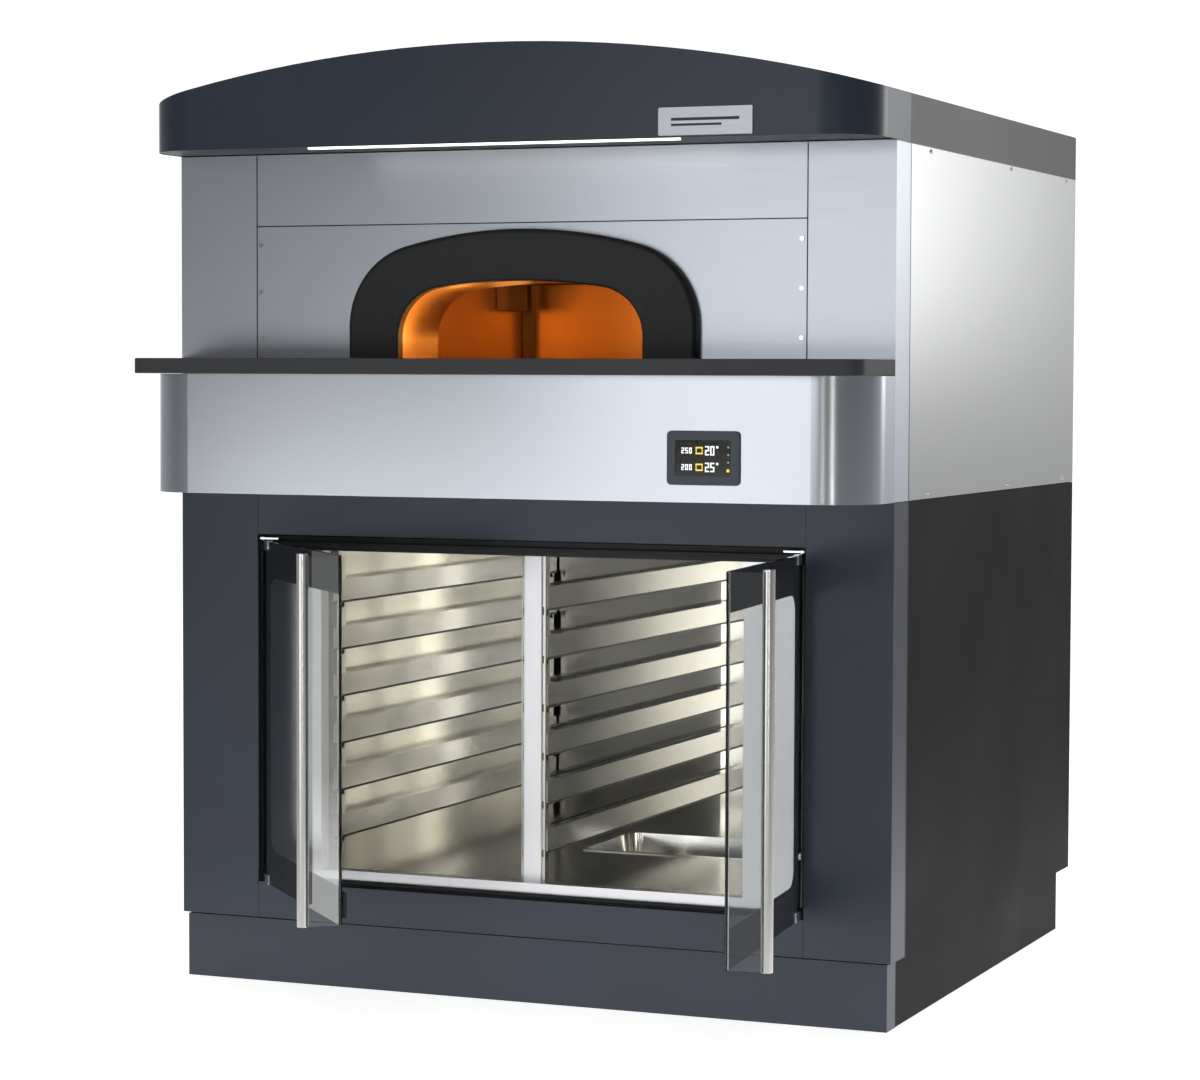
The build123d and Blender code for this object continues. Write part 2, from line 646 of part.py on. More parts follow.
with BuildPart() as water_pan:
    add(pan_tub(0))
    with BuildSketch(Plane.XY.offset(CAVITY_FLOOR + 0.3)):
        with Locations((PAN_X, PAN_Y)):
            RectangleRounded(PAN_LENGTH, PAN_WIDTH, 20)
    extrude(amount=1.2)
    add(pan_tub(PAN_WALL), mode=Mode.SUBTRACT)
save(water_pan, "water_pan")

HEATER_Z = 140
with BuildPart() as pan_heater:
    with BuildLine() as heater_route:
        FilletPolyline(
            (PAN_X - 130, PAN_Y - 90, HEATER_Z),
            (PAN_X + 130, PAN_Y - 90, HEATER_Z),
            (PAN_X + 130, PAN_Y, HEATER_Z),
            (PAN_X - 130, PAN_Y, HEATER_Z),
            (PAN_X - 130, PAN_Y + 90, HEATER_Z),
            (PAN_X + 130, PAN_Y + 90, HEATER_Z),
            radius=40,
        )
    with BuildSketch(Plane(heater_route.line @ 0, z_dir=heater_route.line % 0)):
        Circle(4)
    sweep(path=heater_route.line)
save(pan_heater, "pan_heater")

# ---------------------------------------------------------------- doors
BRACKET_TOP_Z = (831.5, 834.5)
BRACKET_BOTTOM_Z = (180, 184)
CLAMP_LENGTH = 45
CLAMP_WALL = 1.5


def leaf_plan(side, degrees, height):
    """Plane of a door's plan: X along the leaf from the pin, origin on the pin's axis."""
    turn = radians(degrees)
    return Plane(
        origin=(side * HINGE_X, back(HINGE_DEPTH), height),
        x_dir=(-side * cos(turn), -sin(turn), 0),
        z_dir=(0, 0, 1),
    )


def leaf_face(side, degrees, outward):
    """Plane of a door's face: X along the leaf, Y up, shifted outward from the pin's axis."""
    turn = radians(degrees)
    along = Vector(-side * cos(turn), -sin(turn), 0)
    normal = along.cross(Vector(0, 0, 1))
    return Plane(
        origin=Vector(side * HINGE_X, back(HINGE_DEPTH), 0) - normal * side * outward,
        x_dir=along,
        z_dir=normal,
    )


def flat(side, u, out):
    """A rectangle in a door's plan, between limits along the leaf and outward."""
    with Locations(((u[0] + u[1]) / 2, side * (out[0] + out[1]) / 2)):
        Rectangle(u[1] - u[0], out[1] - out[0])


def door_glass(side, degrees):
    """The leaf and its outward return, bent from one sheet of toughened glass."""
    with BuildPart() as glass:
        with BuildSketch(leaf_plan(side, degrees, DOOR_BOTTOM)) as plan:
            flat(side, (-GLASS / 2, DOOR_WIDTH), (-GLASS / 2, GLASS / 2))
            flat(side, (DOOR_WIDTH - GLASS, DOOR_WIDTH), (-GLASS / 2, FIN_REACH))
        extrude(amount=DOOR_TOP - DOOR_BOTTOM)
        bend = glass.edges().filter_by(Axis.Z)
        corner = leaf_plan(side, degrees, 0).from_local_coords(
            Vector(DOOR_WIDTH, -side * GLASS / 2, 0)
        )
        hollow = leaf_plan(side, degrees, 0).from_local_coords(
            Vector(DOOR_WIDTH - GLASS, side * GLASS / 2, 0)
        )
        fillet(bend.filter_by(lambda e: (e.center() - corner).X ** 2
                              + (e.center() - corner).Y ** 2 < 0.1), 7.5)
        bend = glass.edges().filter_by(Axis.Z)
        fillet(bend.filter_by(lambda e: (e.center() - hollow).X ** 2
                              + (e.center() - hollow).Y ** 2 < 0.1), 1.5)
    return glass


def door_border(side, degrees):
    """The black border behind the leaf, round a window that runs out to the free end."""
    with BuildPart() as border:
        with BuildSketch(leaf_face(side, degrees, -GLASS / 2)):
            middle_z = (DOOR_BOTTOM + DOOR_TOP) / 2
            with Locations(((DOOR_WIDTH - 8 - GLASS / 2) / 2, middle_z)):
                Rectangle(DOOR_WIDTH - 8 + GLASS / 2, DOOR_TOP - DOOR_BOTTOM)
            window_length = 2 * (DOOR_WIDTH - WINDOW_U)
            with Locations((WINDOW_U + window_length / 2, (WINDOW_BOTTOM + WINDOW_TOP) / 2)):
                RectangleRounded(window_length, WINDOW_TOP - WINDOW_BOTTOM, WINDOW_RADIUS,
                                 mode=Mode.SUBTRACT)
        extrude(amount=side * BORDER)
    return border


def door_handle(side, degrees):
    """A full-height tube, slotted where it grips the glass, with a cap in each end."""
    tube_bottom = DOOR_BOTTOM - 1
    tube_height = DOOR_TOP - DOOR_BOTTOM + 5
    with BuildPart() as handle:
        with BuildSketch(leaf_plan(side, degrees, tube_bottom)):
            with Locations((HANDLE_U, side * HANDLE_OUT)):
                Circle(HANDLE_RADIUS)
                Circle(HANDLE_RADIUS - 2, mode=Mode.SUBTRACT)
        extrude(amount=tube_height)
        for cap_z in (tube_bottom, tube_bottom + tube_height - 4):
            with BuildSketch(leaf_plan(side, degrees, cap_z)):
                with Locations((HANDLE_U, side * HANDLE_OUT)):
                    Circle(HANDLE_RADIUS - 1)
            extrude(amount=4)
        with BuildSketch(leaf_plan(side, degrees, tube_bottom - 1)):
            flat(side, (DOOR_WIDTH - GLASS, DOOR_WIDTH), (0, FIN_REACH))
        extrude(amount=tube_height + 2, mode=Mode.SUBTRACT)
    return handle


def door_pivots(side, degrees):
    """Top and bottom clamps on the glass, each with its pin."""
    top_z = (812, 830)
    bottom_z = (DOOR_BOTTOM - 0.8, 206)
    with BuildPart() as pivots:
        for z, pin_z in ((top_z, (830, 835.5)), (bottom_z, (178, bottom_z[0]))):
            with BuildSketch(leaf_plan(side, degrees, z[0])):
                flat(side, (0.5, CLAMP_LENGTH),
                     (-GLASS / 2 - BORDER - CLAMP_WALL, GLASS / 2 + CLAMP_WALL))
            extrude(amount=z[1] - z[0])
            with BuildSketch(leaf_plan(side, degrees, pin_z[0])):
                Circle(PIN_RADIUS)
            extrude(amount=pin_z[1] - pin_z[0])
        with BuildSketch(leaf_plan(side, degrees, DOOR_BOTTOM)):
            flat(side, (-5, CLAMP_LENGTH + 5), (-GLASS / 2 - BORDER, GLASS / 2))
        extrude(amount=DOOR_TOP - DOOR_BOTTOM, mode=Mode.SUBTRACT)
    return pivots


for side, hand, degrees in ((-1, "left", LEFT_DOOR_OPEN), (1, "right", RIGHT_DOOR_OPEN)):
    save(door_glass(side, degrees), f"{hand}_door_glass")
    save(door_border(side, degrees), f"{hand}_door_border")
    save(door_handle(side, degrees), f"{hand}_door_handle")
    save(door_pivots(side, degrees), f"{hand}_door_pivots")

with BuildPart() as hinge_brackets:
    for side in (-1, 1):
        for z in (BRACKET_TOP_Z, BRACKET_BOTTOM_Z):
            block(span(side, 498, FRAME_HALF - SHEET), (back(2.5), back(21)), z)
    with Locations(*[(s * HINGE_X, back(HINGE_DEPTH), z) for s in (-1, 1) for z in (182, 833)]):
        Cylinder(PIN_RADIUS + PIN_CLEARANCE, 12, mode=Mode.SUBTRACT)
save(hinge_brackets, "hinge_brackets")

# ---------------------------------------------------------------- insulation and screws
WOOL = 60
with BuildPart() as insulation:
    cavity_z = (CAVITY_FLOOR, CAVITY_CEILING)
    chamber_y = (back(TUNNEL_DEPTH), back(CHAMBER_REAR))
    for side in (-1, 1):
        block(span(side, CAVITY_HALF + LINER + SEAM, CAVITY_HALF + WOOL),
              (back(CAVITY_FRONT + 4), back(CAVITY_DEPTH)), cavity_z)
        block(span(side, CHAMBER_HALF + CHAMBER_SHEET + SEAM, CHAMBER_HALF + CHAMBER_SHEET + WOOL),
              chamber_y, CHAMBER_Z)
    block((-CAVITY_HALF, CAVITY_HALF), (back(CAVITY_DEPTH + 5), back(CAVITY_DEPTH + WOOL)),
          cavity_z)
    block((-CHAMBER_HALF, CHAMBER_HALF), chamber_y,
          (CHAMBER_TOP + CHAMBER_SHEET + SEAM, CHAMBER_TOP + CHAMBER_SHEET + WOOL))
    block((-CHAMBER_HALF, CHAMBER_HALF), chamber_y,
          (DECK_TOP - DECK_THICK - WOOL, DECK_TOP - DECK_THICK - SEAM))
save(insulation, "insulation")

GLAND_X = -560
GLAND_Z = 180
with BuildPart() as cable_gland:
    with BuildSketch(Plane(origin=(GLAND_X, REAR, GLAND_Z), z_dir=(0, 1, 0))):
        RegularPolygon(17, 6)
    extrude(amount=6)
    with Locations(Location((GLAND_X, REAR + 12, GLAND_Z), (90, 0, 0))):
        Cylinder(12, 12)
        Cylinder(6, 40, mode=Mode.SUBTRACT)
save(cable_gland, "cable_gland")

FRONT_SCREWS = [(x, z) for x in (-530, 530) for z in (1205.5, 1291.5, 1377.5)]
SIDE_SCREWS = [(y, z) for y in (back(200), back(731), back(1150)) for z in (933, 1536)]
with BuildPart() as panel_screws:
    screw_y = back(-1.2)
    for x, z in FRONT_SCREWS:
        with Locations(Location((x, screw_y, z), (90, 0, 0))):
            Cylinder(4, 2.4)
    for side in (-1, 1):
        for y, z in SIDE_SCREWS:
            with Locations(Location((side * (HALF + 1.2), y, z), (0, 90, 0))):
                Cylinder(4, 2.4)
save(panel_screws, "panel_screws")
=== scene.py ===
import math

import bmesh
import bpy
from mathutils import Matrix, Vector


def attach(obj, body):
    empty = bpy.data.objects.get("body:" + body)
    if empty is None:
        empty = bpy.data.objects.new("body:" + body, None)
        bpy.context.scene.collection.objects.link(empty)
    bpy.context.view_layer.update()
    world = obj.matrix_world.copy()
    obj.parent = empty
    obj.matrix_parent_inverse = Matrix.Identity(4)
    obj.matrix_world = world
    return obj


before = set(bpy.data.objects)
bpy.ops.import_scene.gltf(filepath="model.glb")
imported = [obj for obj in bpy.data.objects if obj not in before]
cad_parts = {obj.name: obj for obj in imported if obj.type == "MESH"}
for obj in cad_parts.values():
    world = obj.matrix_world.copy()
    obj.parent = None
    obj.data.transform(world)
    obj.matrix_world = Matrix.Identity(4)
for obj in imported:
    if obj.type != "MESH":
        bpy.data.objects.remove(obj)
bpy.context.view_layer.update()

# Looks of a pizza oven on a proofing cabinet. Metres; X right, Y rear, Z up. The casing's
# front covers lie in the plane Y = FRONT, its rear at Y = REAR and its sides at -HALF and HALF.
HALF = 0.700
FRONT = -0.615
REAR = 0.615
BAND_FRONT = -0.770         # face of the control band and of the hood
COLUMN_SEAM = 0.5395        # seam between a corner column and the front covers
COLUMN_REAR = -0.532        # seam between a corner column and its side cover
HOOD_BOTTOM = 1.545
HINGE_X = 0.531             # the doors' pins
HINGE_Y = -0.608
LEFT_DOOR_OPEN = 47.1       # degrees, as stored
SKIN = 0.0003               # thickness of marks and seam lines
scene = bpy.context.scene


# ---------------------------------------------------------------- materials
class Looks:
    """Builds one procedural material from a Principled shader and a few noise layers."""

    def __init__(self, name, color, metallic=0.0, roughness=0.5, **sockets):
        self.mat = bpy.data.materials.new(name)
        self.mat.use_nodes = True
        self.tree = self.mat.node_tree
        self.shader = self.tree.nodes["Principled BSDF"]
        self.put("Base Color", (*color, 1))
        self.put("Metallic", metallic)
        self.put("Roughness", roughness)
        for key, value in sockets.items():
            self.put(key.replace("_", " "), value)
        self.height = None

    def put(self, socket, value):
        self.shader.inputs[socket].default_value = value

    def node(self, kind, **values):
        made = self.tree.nodes.new(kind)
        for key, value in values.items():
            setattr(made, key, value)
        return made

    def link(self, a, b):
        self.tree.links.new(a, b)

    def noise(self, scale, detail=2.0, stretch=(1, 1, 1), rough=0.5):
        """A noise value in object space, stretched along the axes that have small factors."""
        place = self.node("ShaderNodeTexCoord")
        squeeze = self.node("ShaderNodeMapping")
        squeeze.inputs["Scale"].default_value = stretch
        made = self.node("ShaderNodeTexNoise")
        made.inputs["Scale"].default_value = scale
        made.inputs["Detail"].default_value = detail
        made.inputs["Roughness"].default_value = rough
        self.link(place.outputs["Object"], squeeze.inputs["Vector"])
        self.link(squeeze.outputs["Vector"], made.inputs["Vector"])
        return made.outputs["Fac"]

    def span(self, value, low, high, start=0.3, end=0.7):
        """Maps a value's useful range to low..high."""
        made = self.node("ShaderNodeMapRange")
        made.inputs["From Min"].default_value = start
        made.inputs["From Max"].default_value = end
        made.inputs["To Min"].default_value = low
        made.inputs["To Max"].default_value = high
        self.link(value, made.inputs["Value"])
        return made.outputs["Result"]

    def roughness(self, value, low, high):
        self.link(self.span(value, low, high), self.shader.inputs["Roughness"])

    def tint(self, value, low, high):
        """Blends between two colours by a value."""
        made = self.node("ShaderNodeMix", data_type="RGBA")
        made.inputs["A"].default_value = (*low, 1)
        made.inputs["B"].default_value = (*high, 1)
        self.link(self.span(value, 0, 1), made.inputs["Factor"])
        self.link(made.outputs["Result"], self.shader.inputs["Base Color"])

    def bump(self, value, strength, distance):
        """Adds a layer of relief over the layers that are there."""
        made = self.node("ShaderNodeBump")
        made.inputs["Strength"].default_value = strength
        made.inputs["Distance"].default_value = distance
        self.link(value, made.inputs["Height"])
        if self.height is not None:
            self.link(self.height, made.inputs["Normal"])
        self.height = made.outputs["Normal"]
        self.link(self.height, self.shader.inputs["Normal"])


def shade(color, factor):
    """A colour made darker or lighter."""
    return tuple(c * factor for c in color)


def brushed(name, color, along, low, high, grain=0.02, streak=0.0, relief=0.02):
    """Metal with fine scratches along one axis; streak draws its reflections out upright."""
    stretch = {"X": (0.01, 1, 1), "Y": (1, 0.01, 1), "Z": (1, 1, 0.01)}[along]
    look = Looks(name, color, metallic=1.0)
    lines = look.noise(900, 3, stretch)
    cloud = look.noise(2.2, 3)
    look.tint(lines, shade(color, 1 - grain), color)
    look.roughness(lines, low, high)
    look.bump(lines, relief, 0.00001)
    look.bump(cloud, 0.012, 0.002)
    if streak:
        look.put("Anisotropic", streak)
        upright = look.node("ShaderNodeCombineXYZ")
        upright.inputs["Z"].default_value = 1
        look.link(upright.outputs["Vector"], look.shader.inputs["Tangent"])
    return look.mat


def painted(name, color, low, high, grit=0.0001, spec=0.5):
    """Powder-coated sheet: a fine orange-peel skin with faint cloudy wear."""
    look = Looks(name, color)
    peel = look.noise(1400, 2)
    cloud = look.noise(3.0, 4)
    look.tint(cloud, shade(color, 0.9), shade(color, 1.08))
    look.roughness(cloud, low, high)
    look.bump(peel, 0.12, grit)
    look.put("Specular IOR Level", spec)
    return look.mat


def glowing(name, color, strength):
    """A surface that gives off light of its own colour."""
    look = Looks(name, shade(color, 0.5), roughness=0.4)
    look.put("Emission Color", (*color, 1))
    look.put("Emission Strength", strength)
    return look.mat


def cast(name, color, low, high, scale, depth):
    """A grainy surface: cast iron, stone, wool, rubber or textured plastic."""
    look = Looks(name, color)
    grain = look.noise(scale, 5, rough=0.65)
    look.tint(grain, shade(color, 0.8), shade(color, 1.25))
    look.roughness(grain, low, high)
    look.bump(grain, 0.35, depth)
    return look.mat


def moulded(name, color, low, high, gloss_scale, skin_scale, strength, depth):
    """Smooth plastic or enamel with slightly uneven gloss."""
    look = Looks(name, color)
    look.roughness(look.noise(gloss_scale, 2), low, high)
    look.bump(look.noise(skin_scale, 2), strength, depth)
    return look.mat


def glazing(name, color):
    """Clear glass, very slightly wavy."""
    look = Looks(name, color, roughness=0.0, Transmission_Weight=1.0, IOR=1.5)
    look.bump(look.noise(1.5, 1), 0.02, 0.001)
    return look.mat


def screen_cover(name, color, dark, light):
    """The display's dark cover, with uneven tint and gloss."""
    look = Looks(name, color)
    look.tint(look.noise(8, 1), dark, light)
    look.roughness(look.noise(200, 2), 0.08, 0.16)
    return look.mat


slate = painted("slate_paint", (0.036, 0.045, 0.068), 0.30, 0.36)
charcoal = painted("charcoal_paint", (0.014, 0.014, 0.015), 0.50, 0.60, spec=0.08)
hood_paint = painted("hood_paint", (0.060, 0.060, 0.064), 0.40, 0.50, spec=0.40)
black_paint = painted("black_paint", (0.012, 0.012, 0.013), 0.45, 0.6)
slab_paint = painted("slab_paint", (0.050, 0.050, 0.056), 0.45, 0.6, grit=0.0006)
# Black for the seam lines and the nameplate's print, also used for the painted shadow lines under
# the tray runners.
black_ink_and_shadow = painted("black_ink_and_shadow", (0.02, 0.02, 0.03), 0.3, 0.4)

COOL_STEEL = (0.60, 0.63, 0.68)
steel_wide = brushed("steel_wide", COOL_STEEL, "X", 0.30, 0.34, streak=0.6)
steel_tall = brushed("steel_tall", COOL_STEEL, "X", 0.30, 0.34, streak=0.6)
steel_deep = brushed("steel_deep", (0.62, 0.62, 0.62), "Y", 0.29, 0.33)
band_steel = brushed("band_steel", (0.62, 0.65, 0.70), "X", 0.24, 0.27, streak=0.6)
liner = brushed("liner_steel", (0.56, 0.55, 0.52), "Y", 0.16, 0.18, grain=0.01, relief=0.005)
BAY = {"grain": 0.01, "streak": 0.8, "relief": 0.004}
liner_side = brushed("liner_side", (0.66, 0.65, 0.59), "Z", 0.165, 0.175, **BAY)
liner_tall = brushed("liner_tall", (0.66, 0.65, 0.61), "Z", 0.175, 0.185, **BAY)
# The runners take the bays' steel made darker: painted shade on the runner faces.
runner_steel_painted_shade = brushed("runner_steel_painted_shade", (0.50, 0.50, 0.49), "Z", 0.175, 0.185, **BAY)
trim_tall = brushed("trim_tall", (0.93, 0.93, 0.95), "Z", 0.32, 0.38)
trim_wide = brushed("trim_wide", (0.90, 0.90, 0.92), "X", 0.32, 0.38)
pan_steel = brushed("pan_steel", (0.85, 0.84, 0.80), "X", 0.12, 0.18)
handle_steel = brushed("handle_steel", (0.74, 0.73, 0.71), "Z", 0.20, 0.28)
bright = brushed("bright_metal", (0.85, 0.85, 0.86), "X", 0.10, 0.18)
plate_metal = brushed("plate_metal", (0.66, 0.68, 0.71), "X", 0.35, 0.45)
# Steel for the oven's chamber and mouth, tinted orange: the tint is a painted warm glow of the hot
# chamber.
oven_steel = brushed("oven_steel", (0.85, 0.55, 0.25), "Z", 0.30, 0.42)
element_metal = brushed("element_metal", (0.30, 0.24, 0.20), "X", 0.5, 0.6)

iron = cast("cast_iron", (0.017, 0.017, 0.019), 0.42, 0.60, 260, 0.0008)
stone = cast("baking_stone", (0.36, 0.25, 0.16), 0.7, 0.9, 120, 0.001)
wool = cast("mineral_wool", (0.55, 0.50, 0.36), 0.9, 1.0, 200, 0.002)
foot_plastic = cast("foot_plastic", (0.02, 0.02, 0.02), 0.5, 0.65, 300, 0.0003)
seal = cast("seal_rubber", (0.008, 0.008, 0.009), 0.5, 0.65, 300, 0.0002)

border = moulded("border_black", (0.011, 0.011, 0.012), 0.16, 0.24, 30, 600, 0.05, 0.00005)
bezel = moulded("bezel_plastic", (0.060, 0.075, 0.100), 0.30, 0.42, 500, 900, 0.08, 0.0001)
glass = glazing("door_glazing", (0.96, 0.975, 0.97))
screen = screen_cover("screen_glass", (0.012, 0.012, 0.009),
                      (0.010, 0.010, 0.008), (0.020, 0.019, 0.012))
lamp = glowing("lamp_plastic", (1.0, 0.96, 0.86), 2.2)
white_ink = glowing("white_ink", (0.95, 0.97, 1.0), 1.0)
yellow_ink = glowing("yellow_ink", (1.0, 0.70, 0.10), 0.9)
dim_ink = glowing("dim_ink", (0.55, 0.57, 0.60), 0.4)

LOOK_OF = {
    "kick_front": slate, "kick_panels": charcoal, "levelling_feet": foot_plastic,
    "base_frame": black_paint, "lower_column_left": slate, "lower_column_right": slate,
    "prover_top_rail": slate, "prover_bottom_rail": slate, "prover_side_left": charcoal,
    "prover_side_right": charcoal, "prover_rear_panel": charcoal,
    "oven_rear_panel": steel_wide, "upper_column_left": steel_tall,
    "upper_column_right": steel_tall, "oven_side_left": steel_deep,
    "oven_side_right": steel_deep, "upper_fascia": steel_wide, "arch_panel": steel_wide,
    "arch_surround": iron, "mouth_tunnel": oven_steel, "chamber_walls": oven_steel,
    "chamber_ceiling": oven_steel, "stone_deck": stone, "heating_elements": element_metal,
    "counter_slab": slab_paint, "control_band": band_steel, "display_bezel": bezel,
    "display_screen": screen, "canopy_fascia": slate, "canopy_sides": hood_paint,
    "canopy_roof": slate, "canopy_soffit": black_paint, "led_strip": lamp,
    "nameplate": plate_metal, "cavity_floor": liner, "cavity_ceiling": liner,
    "cavity_walls": liner_side, "cavity_wall_back": liner_tall, "door_frame": black_paint,
    "door_gasket": seal, "side_trims": trim_tall, "threshold": trim_wide,
    "mullion": trim_tall, "rack_uprights": liner_tall, "side_runners": runner_steel_painted_shade,
    "centre_runners": runner_steel_painted_shade, "water_pan": pan_steel, "pan_heater": element_metal,
    "hinge_brackets": bright, "insulation": wool, "panel_screws": bright,
    "cable_gland": foot_plastic, "left_door_glass": glass, "left_door_border": border,
    "left_door_handle": handle_steel, "left_door_pivots": bright,
    "right_door_glass": glass, "right_door_border": border,
    "right_door_handle": handle_steel, "right_door_pivots": bright,
}
for name, mat in LOOK_OF.items():
    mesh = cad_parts[name].data
    mesh.materials.clear()
    mesh.materials.append(mat)


# ---------------------------------------------------------------- shape helpers
def about(middle, half):
    """Limits at an equal distance on both sides of a middle."""
    return (middle - half, middle + half)


def box(x, y, z):
    """A box's low and high corner, from its limits along each axis."""
    return ((x[0], y[0], z[0]), (x[1], y[1], z[1]))


def boxes_mesh(name, boxes, bevel=0.0):
    """One mesh of several boxes, each given as its low and high corner."""
    bm = bmesh.new()
    for low, high in boxes:
        low, high = Vector(low), Vector(high)
        place = Matrix.Translation((low + high) / 2) @ Matrix.Diagonal((*(high - low), 1))
        bmesh.ops.create_cube(bm, size=1, matrix=place)
    if bevel:
        bmesh.ops.bevel(bm, geom=list(bm.edges), offset=bevel, segments=2, affect="EDGES")
    mesh = bpy.data.meshes.new(name)
    bm.to_mesh(mesh)
    bm.free()
    return mesh


def piece(mesh, mat, body="cabinet"):
    """Adds a mesh as a visible piece that rides a body, under the mesh's own name."""
    made = bpy.data.objects.new(mesh.name, mesh)
    scene.collection.objects.link(made)
    mesh.materials.append(mat)
    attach(made, body)


# ---------------------------------------------------------------- display and nameplate
SCREEN_X = 0.408
SCREEN_Z = 0.9985
SCREEN_FRONT = BAND_FRONT - 0.004
SCREEN_ROWS = (12.9, -15.6)


def mark(x, z, width, height):
    """A flat mark on the screen, given by its middle in millimetres from the screen's."""
    return box(about(SCREEN_X + x / 1000, width / 2000),
               (SCREEN_FRONT - SKIN, SCREEN_FRONT),
               about(SCREEN_Z + z / 1000, height / 2000))


def digit(x, z, width, height, line, lit):
    """A made-up digit of up to seven bars, named by letter from the top clockwise."""
    side, rise = (width - line) / 2, (height - line) / 2
    bars = {
        "a": (0, rise, width, line), "d": (0, -rise, width, line), "g": (0, 0, width, line),
        "b": (side, rise / 2, line, rise), "c": (side, -rise / 2, line, rise),
        "e": (-side, -rise / 2, line, rise), "f": (-side, rise / 2, line, rise),
    }
    return [mark(x + bars[k][0], z + bars[k][1], *bars[k][2:]) for k in lit]


ZERO, TWO, FIVE = "abcdef", "abged", "afgcd"
SMALL_PLACES, LARGE_PLACES = (-37, -30, -23), (7.5, 17)
ROW_DIGITS = (((TWO, FIVE, ZERO), (TWO, ZERO)), ((TWO, ZERO, ZERO), (TWO, FIVE)))
whites = []
for row, (small, large) in zip(SCREEN_ROWS, ROW_DIGITS):
    for at, lit in zip(SMALL_PLACES, small):
        whites += digit(at, row, 5, 10, 1.7, lit)
    for at, lit in zip(LARGE_PLACES, large):
        whites += digit(at, row, 7.5, 16, 2.3, lit)
    whites.append(mark(26, row + 6, 4, 4))
piece(boxes_mesh("display_digits", whites), white_ink)

yellows = []
for row in SCREEN_ROWS:
    yellows += [mark(-7, row + 5, 13, 2.6), mark(-7, row - 5, 13, 2.6),
                mark(-12.5, row, 1.6, 10), mark(-1.5, row, 1.6, 10)]
yellows.append(mark(45.5, -21, 5, 5))
piece(boxes_mesh("display_frames", yellows), yellow_ink)
piece(boxes_mesh("display_dots", [mark(46, z, 3.2, 3.2) for z in (19, 6, -7)]), dim_ink)

PLATE_X = 0.408
PLATE_Z = 1.5725
PLATE_FRONT = BAND_FRONT - 0.0025
PLATE_BARS = (((-0.062, 0.062), (0.001, 0.006)), ((-0.062, 0.030), (-0.008, -0.004)))
plate_bars = [box((PLATE_X + x[0], PLATE_X + x[1]), (PLATE_FRONT - SKIN, PLATE_FRONT),
                  (PLATE_Z + z[0], PLATE_Z + z[1])) for x, z in PLATE_BARS]
piece(boxes_mesh("nameplate_bars", plate_bars), black_ink_and_shadow)

# ---------------------------------------------------------------- oven chamber
CHAMBER_LEFT = -0.499       # 1 mm clear of the chamber's left wall
CHAMBER_TOP = 1.351         # and of its ceiling
corner_post = box((CHAMBER_LEFT, -0.478), (0.512, 0.534), (1.168, CHAMBER_TOP))
piece(boxes_mesh("chamber_post", [corner_post], 0.001), element_metal)
lamp_case = box((CHAMBER_LEFT, -0.470), (0.374, 0.474), (1.276, CHAMBER_TOP))
piece(boxes_mesh("chamber_lamp_box", [lamp_case], 0.002), element_metal)

# ---------------------------------------------------------------- seams between the covers
LINE_HALF = 0.0011          # half of a seam line's width
FRONT_RUNS = ((0.122, 0.178), (0.212, 0.806), (0.838, 0.921), (1.169, 1.543))
SIDE_RUNS = ((0.122, 0.921), (0.923, 1.543), (1.546, 1.628))
FASCIA_SEAM = 1.4125
front_skin = (FRONT - SKIN, FRONT)
seams = []
for side in (-1, 1):
    for run in FRONT_RUNS:
        seams.append(box(about(side * COLUMN_SEAM, LINE_HALF), front_skin, run))
    side_skin = about(side * (HALF + SKIN / 2), SKIN / 2)
    for run in SIDE_RUNS:
        seams.append(box(side_skin, about(COLUMN_REAR, LINE_HALF), run))
    seams.append(box(side_skin, (FRONT + 0.001, REAR), (HOOD_BOTTOM - 0.002, HOOD_BOTTOM + 0.0005)))
seams.append(box((-COLUMN_SEAM, COLUMN_SEAM), front_skin, about(FASCIA_SEAM, LINE_HALF)))
piece(boxes_mesh("seam_lines", seams), black_ink_and_shadow)

# ---------------------------------------------------------------- tray bays and left door
LEVELS = 6
RUNNER_TOP = 0.310          # top of the lowest runner
RUNNER_PITCH = 0.0888
RUNNER_FACES = (-0.4101, 0.0249)
TAB_X = 0.0192
TAB_HALF = 0.0018
RUNNER_TOPS = [RUNNER_TOP + RUNNER_PITCH * level for level in range(LEVELS)]
tabs = [box(about(side * TAB_X, TAB_HALF), (-0.5625, -0.560), (top - 0.050, top - 0.036))
        for side in (-1, 1) for top in RUNNER_TOPS]
piece(boxes_mesh("mullion_tabs", tabs, 0.0005), element_metal)
# Thin black strips along the lower edge of each runner's face: painted shadow where the runner
# shades the wall under it.
edges = [box((face, face + 0.0006), (-0.552, 0.495), (top - 0.0435, top - 0.0395))
         for face in RUNNER_FACES for top in RUNNER_TOPS]
piece(boxes_mesh("runner_shadow_lines", edges), black_ink_and_shadow)


def on_left_door(u, out, z):
    """Places a point of the stored left door: along the leaf, outward from it, and up."""
    turn = math.radians(LEFT_DOOR_OPEN)
    return (-HINGE_X + math.cos(turn) * u - math.sin(turn) * out,
            HINGE_Y - math.sin(turn) * u - math.cos(turn) * out, z)


bumper = boxes_mesh("door_bumper", [box((0.506, 0.526), (-0.011, -0.004), (0.201, 0.245))], 0.0015)
for vertex in bumper.vertices:
    vertex.co = on_left_door(*vertex.co)
piece(bumper, seal, "left_door")

# ---------------------------------------------------------------- floor
# The floor glows as white as the backdrop behind the object and fades towards the viewer's
# side. Each fade is a direction, where it starts and ends along it, and the two levels.
FLOOR_FADES = (
    ((0, 1, 0), -2.3, -1.2, 0.03, 0.80),
    ((0.834, 0.552, 0), -2.2, -1.35, 0.05, 1.0),
    ((-0.978, -0.208, 0), -1.75, -1.15, 0.10, 1.0),
)


